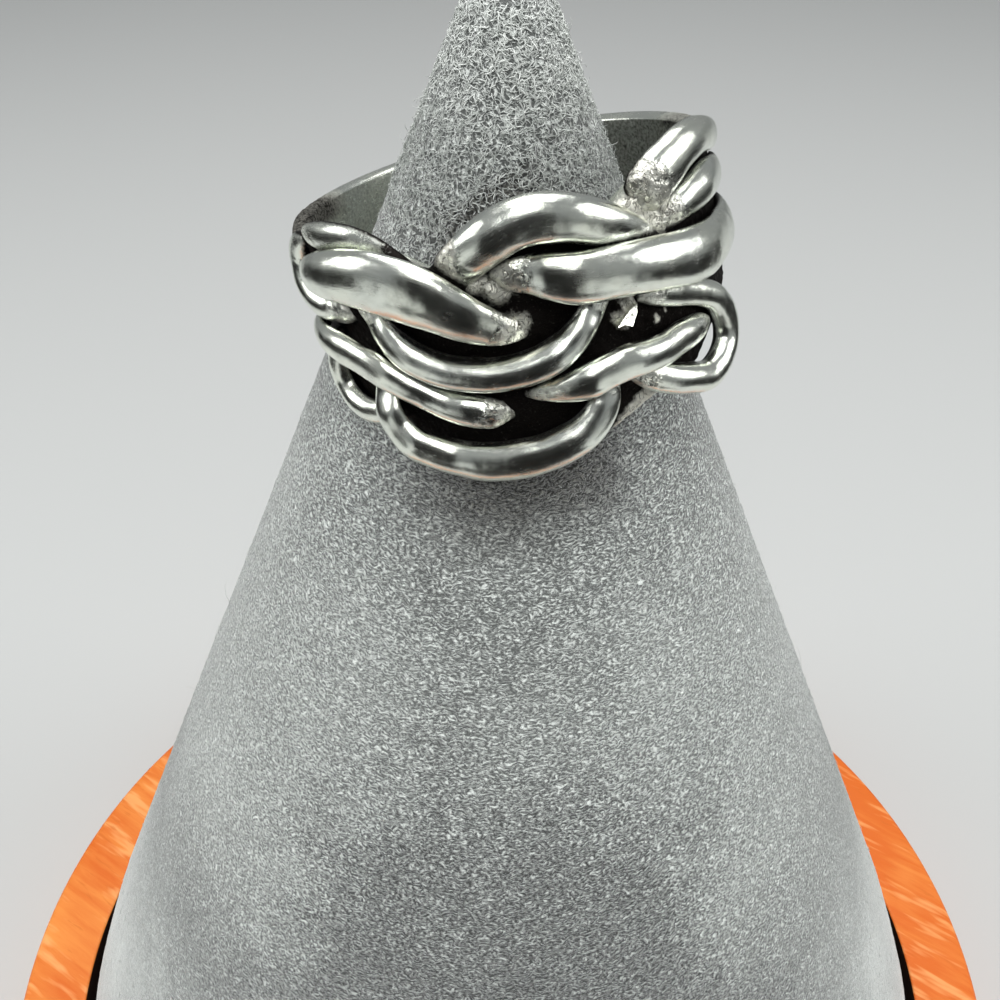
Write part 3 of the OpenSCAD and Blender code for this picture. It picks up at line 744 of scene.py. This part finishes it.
def shank_metal():
    """The sleeve and plain band: its section turned round the ring's axis between the two rims. Its outside
    steps up to the plain band and carries lumps of cast metal, each a bell-shaped rise."""
    around = 720
    angle = np.linspace(-np.pi, np.pi, around, endpoint=False)[:, None]
    deg = np.degrees(angle)
    share, level = (c[None, :] for c in shank_profile().T)
    section = share.shape[1]
    band = np.where(deg < 0, 1 - step(deg, *BAND_LEFT), step(deg, *BAND_RIGHT))
    outer = SLEEVE_R + (BACK_R - SLEEVE_R) * band
    top, low = rim_heights(angle, (BORE_R + outer) / 2)
    kernel = np.hanning(13) / np.hanning(13).sum()
    top, low = (np.convolve(np.pad(h[:, 0], 6, "wrap"), kernel, "valid")[:, None] for h in (top, low))
    r = BORE_R + (outer - BORE_R) * share
    z = (top + low) / 2 + (top - low) / 2 * level
    u = angle * CHART_R
    p = turned(r, angle, z)
    ragged = waves(p, 0.7, 23)

    # Where the metal is bare, at the front's outside and along the low rim
    front = between(deg, *FRONT_CAST) * step(share, 0.5, 0.95)
    bare = (1 - step(spots(FLECKS, u, z) + 0.45 * ragged[..., None], 0.45, 1.25)).max(-1) * front
    share_of = np.clip((deg - BRIGHT_RIM[:, 0]) / (BRIGHT_RIM[:, 1] - BRIGHT_RIM[:, 0]), 0, 1)
    crescent = (BRIGHT_RIM[:, 2] * np.sin(np.pi * share_of)).max(-1)[:, None]
    bare = np.maximum(bare, 1 - step(z - low + 0.05 * ragged, crescent - 0.12, crescent + 0.02))

    # Cast skin on the front and on both ends of the top rim, tarnish between the strands, and painted shade
    # inside the bore, deeper on its right half
    rim = step(np.abs(level), 0.9, 0.96) * (level > 0) * np.ones_like(r)
    under_rim = step(z + 0.35 * ragged, top - 1.2, top - 0.9)
    left_rim = np.maximum(rim, (share < 0.5) * under_rim) * between(deg, *LEFT_RIM_CAST)
    right_rim = rim * between(deg, *RIGHT_RIM_CAST)
    inner = (share < 0.02) * np.ones_like(r)
    cast = np.clip(0.8 * front + left_rim + 0.7 * right_rim, 0, 1)
    dark = front * (1 - 0.9 * bare) + 0.75 * left_rim + 0.5 * right_rim
    # Painted shade inside the bore, deeper on its right half
    dark = dark + (0.3 + 0.3 * step(deg, 0, 90)) * inner * (1 - left_rim)

    lump = (np.exp(-(spots(WEBS, u, z)**2)) * WEBS[:, 3]).max(-1)
    rise = lump * (1 + 0.35 * ragged) + CAST_LUMP * waves(p, 0.5, 21) + 0.04 * bare
    proud = r + front * np.minimum(np.clip(rise, -0.03, None), 0.5)
    v = turned(proud, angle, z + 0.04 * cast * rim * waves(p, 0.45, 22))
    round_section = np.arange(section)[None, :] / section * 14
    uv = np.stack(np.broadcast_arrays(angle * 9, round_section), -1).reshape(-1, 2)
    faces = [grid_faces(around, section, wrap_rows=True)[:, ::-1]]
    values = {"dark": np.clip(dark, 0, 1), "cast": cast}
    ob = add_mesh("shank_metal", placed(v).reshape(-1, 3), faces, attributes=values, uv=uv)
    ob.data.materials.append(BAND_SILVER)
    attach(ob, "root")
    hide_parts("shank")


def bright_flake():
    """A flake of bare metal among the tarnish: its outline lies in a plane that faces up and forward, and
    its sides run straight back into the sleeve."""
    theta, height, proud = np.radians(FLAKE_AT[0]), *FLAKE_AT[1:]
    out = turned(1, theta, 0)
    centre = placed((SLEEVE_R + proud) * out + [0, 0, height])
    across = unit(np.cross([0, 0, 1], FLAKE_FACES))
    upward = unit(np.cross(FLAKE_FACES, across))
    outline = np.vstack([FLAKE, [FLAKE_MIDDLE]])
    face = centre + outline @ np.stack([across, upward])
    back = face - FLAKE_DEPTH * TURN @ out
    n = len(FLAKE)
    j = np.arange(n)
    k = (j + 1) % n
    front_fan = np.stack([np.full(n, n), j, k], -1)
    back_fan = np.stack([np.full(n, 2 * n + 1), n + 1 + k, n + 1 + j], -1)
    sides = np.stack([k, j, n + 1 + j, n + 1 + k], -1)
    values = {"dark": np.zeros(2 * n + 2), "cast": np.full(2 * n + 2, 0.2)}
    uv = np.vstack([outline, outline]) * 2
    ob = add_mesh("bright_flake", np.vstack([face, back]), [front_fan, back_fan, sides], smooth=False,
                  attributes=values, uv=uv)
    ob.data.materials.append(SILVER)
    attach(ob, "root")


# ---- cone ----
def cone_radius(z):
    """Radius of the cone at height z over the wood: a foot that turns in, a straight side, the tip's ball."""
    ball_from = TIP_Z + TIP_R * np.sin(HALF)
    ball = np.sqrt(np.clip(TIP_R**2 - (z - TIP_Z) ** 2, 0, None))
    side = np.where(z < 0, FOOT_R, SLOPE * (APEX - z) - np.interp(z, *FOOT_CURVE.T))
    return np.where(z < ball_from, side, ball)


def suede_light_and_shade(p, q, top, low):
    """Painted light and shade on the suede at points p, which the ring's frame sees as q: painted shade under
    the ring's front and at the foot inside the recess, a painted sheen that makes both sides plainer and
    paler low down, painted light on the flanks and an upper band, and painted shade low in front."""
    # Painted shade under the ring's front
    under = low - q[..., 2] + 0.7 * waves(p, 1.2, 33)
    turn = np.degrees(np.arctan2(q[..., 0], -q[..., 1]))
    painted_shade = (1 - step(under, *SHADE_DOWN)) * (q[..., 2] < top)
    painted_shade = painted_shade * (1 - step(np.abs(turn + 4), *SHADE_ASIDE))
    z = p[..., 2]
    # Painted shade at the foot inside the recess
    painted_shade = np.maximum(painted_shade, 1 - step(z, BASE_H - 0.2, BASE_H + 0.5))
    side_way = np.abs(np.degrees(np.arctan2(p[..., 0], -p[..., 1]))) + 7 * waves(p, 4, 34)
    # Painted sheen: plainer, paler nap on both sides low down
    smooth = between(side_way, *SHEEN_SIDES) * (1 - step(z, *SHEEN_BELOW))
    # Painted light on the flanks and an upper band, painted shade low in the middle in front
    flank = step(side_way, *FLANKS)
    rise_from, rise_to, fall_from, fall_to = LIGHT_BAND
    drop = FLANK_DROP * flank
    upper = between(z, rise_from - drop, rise_to - drop, fall_from, fall_to)
    middle = (1 - step(side_way, *MIDDLE)) * between(z, *DARK_BAND)
    pale = (0.06 + 0.12 * flank) * upper * (1 - step(side_way, *LIGHT_ENDS)) - 0.21 * middle
    return {"painted_shade": painted_shade, "smooth": smooth, "pale": pale}


def cone_skin():
    """Suede surface: circles of the cone's radius, pushed in to just inside the bore where the ring sits."""
    side = np.linspace(0.05 - RECESS, TIP_Z + TIP_R * np.sin(HALF), 330)
    tip = TIP_Z + TIP_R * np.sin(np.linspace(HALF, np.pi / 2, 14))[1:-1]
    z = np.concatenate([side, tip])[:, None]
    around = 280
    angle = np.linspace(0, 2 * np.pi, around, endpoint=False)[None, :]
    r = cone_radius(z) * np.ones((1, around))
    q = in_ring(turned(r, angle, z + BASE_H + 0 * r))
    rho = np.hypot(q[..., 0], q[..., 1])
    top, low = rim_heights(np.arctan2(q[..., 0], -q[..., 1]), rho)
    inside = between(q[..., 2], low - 0.25, low - 0.05, top + 0.05, top + 0.25)
    press = np.minimum(1, (BORE_R - DENT_CLEAR) / np.maximum(rho, 1e-6))
    pushed = 1 + (press - 1) * inside * (rho < 11)
    q = np.concatenate([q[..., :2] * pushed[..., None], q[..., 2:]], -1)
    p = placed(q)
    nap = 0.035 * waves(p, 0.9, 31, 2) * step(p[..., 2], 12.5, 14)
    p[..., 0] += nap * np.sin(angle)
    p[..., 1] -= nap * np.cos(angle)
    v = p.reshape(-1, 3)
    ends = np.array([[0, 0, v[0, 2]], [0, 0, BASE_H + TIP_Z + TIP_R]])
    values = {key: np.append(value.ravel(), [0, 0]) for key, value in suede_light_and_shade(p, q, top, low).items()}
    ob = add_mesh("cone_suede", np.vstack([v, ends]), closed_faces(len(z), around), attributes=values)
    ob.data.materials.append(SUEDE)
    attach(ob, "root")
    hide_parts("cone")


def nap_lines(r, count, low, high, long_mm, stand, spread):
    """Middle lines of loose fibres as four points each, and the cone's outward direction at each root. A
    fibre sets out round the cone, turned by a random angle of the given spread, bends along the surface and
    rises from it by its own share of stand. Those that would meet the ring are left out."""
    z = APEX - np.sqrt(r.uniform((APEX - high) ** 2, (APEX - low) ** 2, count))
    angle = r.uniform(0, 2 * np.pi, count)
    length = long_mm * r.uniform(0.5, 1.3, count)
    turn = r.normal(0, spread, count) + np.pi * r.integers(0, 2, count)
    bend = r.normal(0, 1.6, count)
    rise = stand * r.uniform(0.1, 1.0, count) ** 2
    s = np.linspace(0, 1, 4)
    round_way = np.stack([np.cos(angle), np.sin(angle), 0 * angle], -1)
    out = turned(np.cos(HALF), angle, np.sin(HALF) + 0 * angle)
    up_way = np.cross(round_way, out)
    up_way *= np.sign(up_way[:, 2:3])
    root = turned(cone_radius(z), angle, z + BASE_H)
    head = turn[:, None] + bend[:, None] * s[None, :]
    stride = length[:, None] / (len(s) - 1)
    dx, dy = np.cos(head) * stride, np.sin(head) * stride
    x = np.cumsum(dx, 1) - dx
    y = np.cumsum(dy, 1) - dy
    h = rise[:, None] * np.sin(s * np.pi * 0.6)[None, :] - 0.02
    line = root[:, None] + x[..., None] * round_way[:, None] + y[..., None] * up_way[:, None]
    line = line + h[..., None] * out[:, None]
    q = in_ring(line)
    rho = np.hypot(q[..., 0], q[..., 1])
    free_height, free_from, free_to = FIBRE_FREE
    keep = ~((np.abs(q[..., 2]) < free_height) & (rho > free_from) & (rho < free_to)).any(1)
    return line[keep], out[keep]


def fibres(name, count, low, high, long_mm, thick_mm, stand, spread, seed):
    """Loose nap fibres: a triangle carried along each middle line, thinner toward its end. They are thinner
    and darker near the ring, and each has a shade of its own."""
    r = np.random.default_rng(seed)
    line, out = nap_lines(r, count, low, high, long_mm, stand, spread)
    count, joints = line.shape[:2]
    tangent = unit(np.gradient(line, axis=1))
    side = np.cross(tangent, out[:, None])
    side /= np.linalg.norm(side, axis=-1, keepdims=True) + 1e-9
    other = np.cross(tangent, side)
    a = np.radians([90, 210, 330])
    stout = 0.62 + 0.38 * step(line[:, :1, 2], 86, 91)
    taper = thick_mm / 2 * (1 - 0.7 * np.linspace(0, 1, joints)**2) * stout
    across = np.cos(a)[None, None, :, None] * side[:, :, None]
    across = across + np.sin(a)[None, None, :, None] * other[:, :, None]
    v = (line[:, :, None] + taper[:, :, None, None] * across).reshape(-1, 3)
    per = joints * 3
    base = (np.arange(count) * per)[:, None]
    walls = (grid_faces(joints, 3)[None] + base[..., None]).reshape(-1, 4)
    caps = np.vstack([base + [[0, 2, 1]], base + (per - 3) + np.array([[0, 1, 2]])])
    shade = np.repeat(r.uniform(0, 1, count) - 0.4 * (1 - step(line[:, 0, 2], 84, 90)), per)
    ob = add_mesh(name, v, [walls, caps], attributes={"shade": shade})
    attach(ob, "root")
    return ob


# ---- base ----
def base_wood():
    """Turned wooden base: flat underside, straight wall with both edges rounded, recess round the cone."""
    e = np.linspace(0, np.pi / 2, 9)
    inner, floor_z, pole = FOOT_R + RECESS_GAP, BASE_H - RECESS, 0.001
    profile = np.vstack([
        [[pole, 0.0], [FLOOR_RING, 0.0], [BASE_R - FOOT_EDGE, 0.0]],
        np.stack([BASE_R - FOOT_EDGE + FOOT_EDGE * np.sin(e), FOOT_EDGE - FOOT_EDGE * np.cos(e)], -1)[1:],
        [[BASE_R, z] for z in WALL_RINGS],
        np.stack([BASE_R - EDGE + EDGE * np.cos(e), BASE_H - EDGE + EDGE * np.sin(e)], -1),
        [[r, BASE_H] for r in (*TOP_RINGS, inner + 0.3)],
        np.stack([inner + LIP - LIP * np.sin(e), BASE_H - LIP + LIP * np.cos(e)], -1)[1:],
        [[inner, floor_z], [FLOOR_RING, floor_z], [pole, floor_z]],
    ])
    around = 360
    angle = np.linspace(0, 2 * np.pi, around, endpoint=False)[None, :]
    r, z = profile[:, :1], profile[:, 1:]
    v = turned(r, angle, z + 0 * angle).reshape(-1, 3)
    # Painted shade on the recess's wall and floor
    recess = (r < inner + 0.12) & (z > floor_z - 0.1) & (z < BASE_H - 0.1)
    recess = np.append(np.repeat(recess, around, 1).ravel(), [0, 1]) * 1.0
    middles = np.array([[0, 0, 0], [0, 0, floor_z]])
    faces = closed_faces(len(profile), around)
    ob = add_mesh("base_wood", np.vstack([v, middles]), faces, attributes={"dark": recess})
    ob.data.materials.append(WOOD)
    ob.modifiers.new("edges", "EDGE_SPLIT").split_angle = np.radians(50)
    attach(ob, "root")
    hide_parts("base")


finished_strands()
shank_metal()
bright_flake()
cone_skin()
base_wood()
FIBRE = fibre_material()
for sizes in NAP:
    fibres(*sizes).data.materials.append(FIBRE)


# ---- stage ----
def plate(name, centre, size, turn, material, seen=True):
    """Flat stage card of the given size, turned about X, Y and Z, then placed. Unless seen, the camera
    meets it in reflections only."""
    me = bpy.data.meshes.new(name)
    w, h = size[0] / 2, size[1] / 2
    me.from_pydata([(-w, -h, 0), (w, -h, 0), (w, h, 0), (-w, h, 0)], [], [(0, 1, 2, 3)])
    ob = bpy.data.objects.new(name, me)
    ob.location, ob.rotation_euler = centre, turn
    bpy.context.collection.objects.link(ob)
    ob.data.materials.append(material)
    ob.visible_camera = seen
    return ob


def plain(name, colour):
    """Matt material of one colour."""
    m, _, bsdf = new_material(name)
    bsdf.inputs["Base Color"].default_value = colour
    bsdf.inputs["Roughness"].default_value = 0.8
    return m


def soft_light(name, where, toward, size, power):
    """Square area light at a place, facing a point."""
    data = bpy.data.lights.new(name, "AREA")
    data.shape, data.size, data.energy = "SQUARE", size, power
    ob = bpy.data.objects.new(name, data)
    ob.location = where
    ob.rotation_euler = (Vector(toward) - Vector(where)).to_track_quat("-Z", "Y").to_euler()
    bpy.context.collection.objects.link(ob)


plate("floor", (0, 0, 0), (3, 3), (0, 0, 0), plain("pale_floor", (0.55, 0.56, 0.55, 1)))
BLACK = plain("black_card", (0.004, 0.004, 0.004, 1))
for name, centre, size, turn in CARDS:
    card = plate(name, centre, size, turn, BLACK, seen=False)
    card.visible_diffuse = card.visible_shadow = False
for light in LIGHTS:
    soft_light(*light)
world = bpy.data.worlds.new("studio")
bpy.context.scene.world = world
world.use_nodes = True
world.node_tree.nodes["Background"].inputs[0].default_value = (0.9, 0.93, 0.95, 1)
world.node_tree.nodes["Background"].inputs[1].default_value = 0.28


# ---- camera ----
def fitted_camera():
    """Camera at the place, turn and lens that fit the cone's edges and base's circles in the photo."""
    ahead = np.array([np.sin(YAW) * np.cos(PITCH), np.cos(YAW) * np.cos(PITCH), -np.sin(PITCH)])
    right = unit(np.cross(ahead, [0, 0, 1]))
    up = np.cross(right, ahead)
    cam = bpy.data.cameras.new("camera")
    cam.lens, cam.sensor_width, cam.sensor_fit = LENS, SENSOR, "HORIZONTAL"
    cam.clip_start, cam.clip_end = 0.002, 10
    camera = bpy.data.objects.new("camera", cam)
    bpy.context.collection.objects.link(camera)
    place = np.eye(4)
    place[:3, 0] = right * np.cos(ROLL) + up * np.sin(ROLL)
    place[:3, 1] = -right * np.sin(ROLL) + up * np.cos(ROLL)
    place[:3, 2] = -ahead
    place[:3, 3] = CAMERA_AT * 0.001
    camera.matrix_world = Matrix(place.tolist())
    return camera


bpy.context.scene.camera = fitted_camera()
bpy.context.scene.view_settings.view_transform = "Standard"
